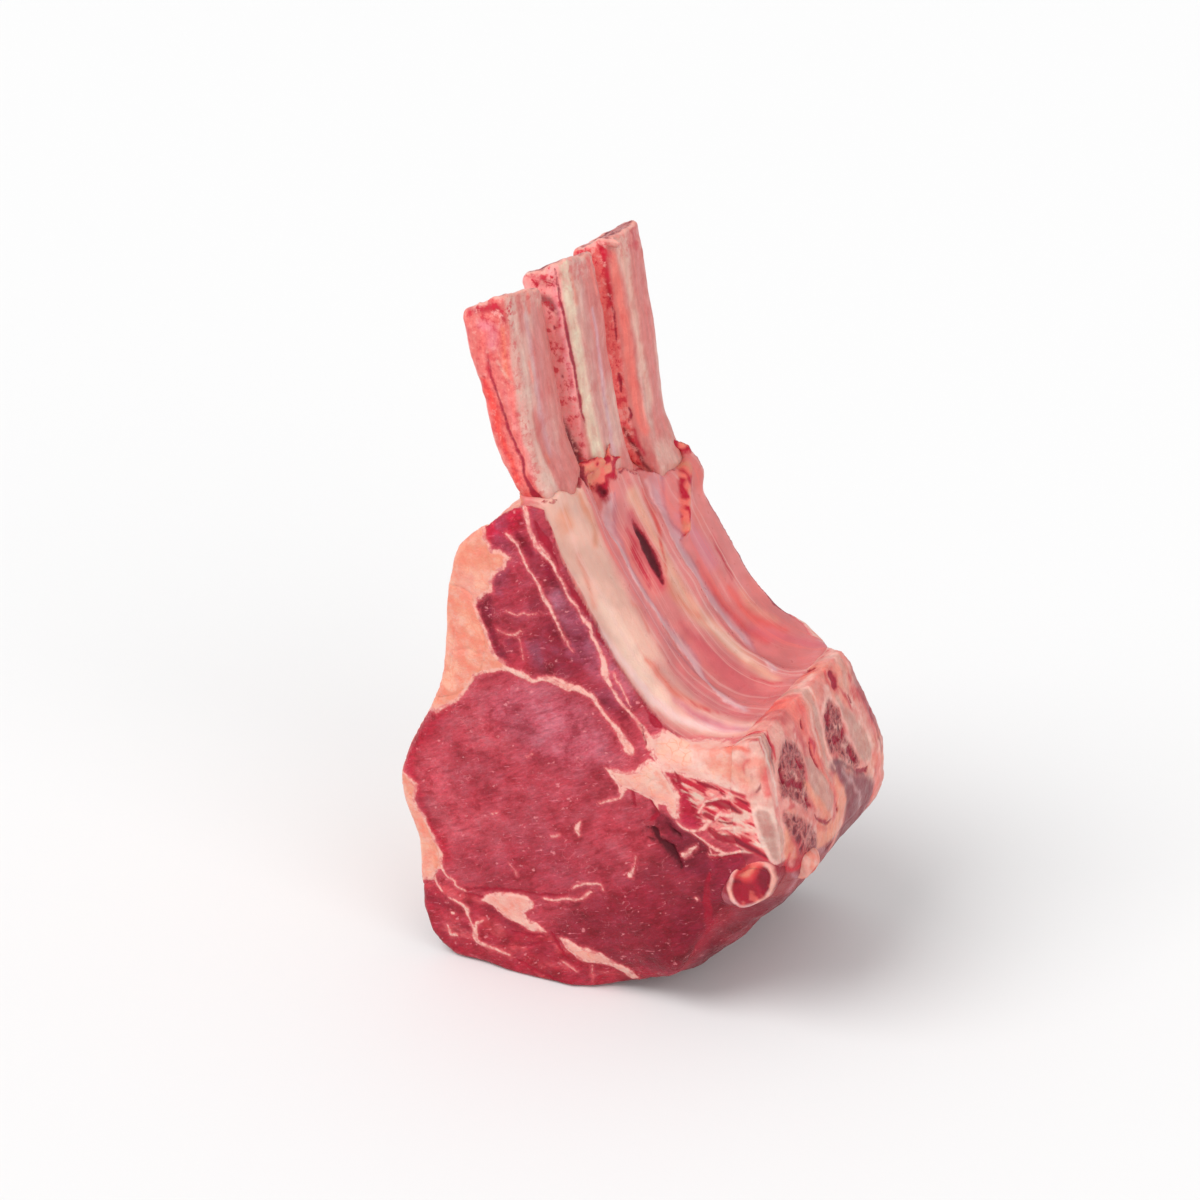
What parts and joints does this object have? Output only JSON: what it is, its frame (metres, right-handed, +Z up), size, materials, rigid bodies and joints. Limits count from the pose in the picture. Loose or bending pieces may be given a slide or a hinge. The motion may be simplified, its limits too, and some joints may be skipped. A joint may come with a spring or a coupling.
{
  "type": "raw bone-in beef rib roast",
  "caption": "Raw beef rib roast with long frenched rib bones curving up from a thick block of meat, with a sawn backbone along one side.",
  "frame": {"origin": "on the table, under the middle of the roast's bounding box", "axes": "+Z up, along the bare rib bones; +X towards the sawn backbone, -X towards the fat cap; -Y towards the front cut face"},
  "size_m": [0.1954, 0.14, 0.3292],
  "materials": {
    "muscle": "moist dark red muscle with pale fat seams",
    "fat": "firm pale pink fat with fine red veins",
    "bone": "scraped moist bone, whitish pink with red streaks",
    "cartilage": "moist greyish white cartilage"
  },
  "bodies": {
    "root": {"meat": "muscle", "fat_cap_upper": "fat", "fat_cap_lower": "fat", "rib_1": "bone", "rib_2": "bone", "rib_3": "bone", "disc_1": "cartilage", "vertebra_1": "bone", "disc_2": "cartilage", "vertebra_2": "bone", "disc_3": "cartilage", "vertebra_3": "bone", "feather_bone_1": "bone", "feather_bone_2": "bone"}
  },
  "joints": []
}
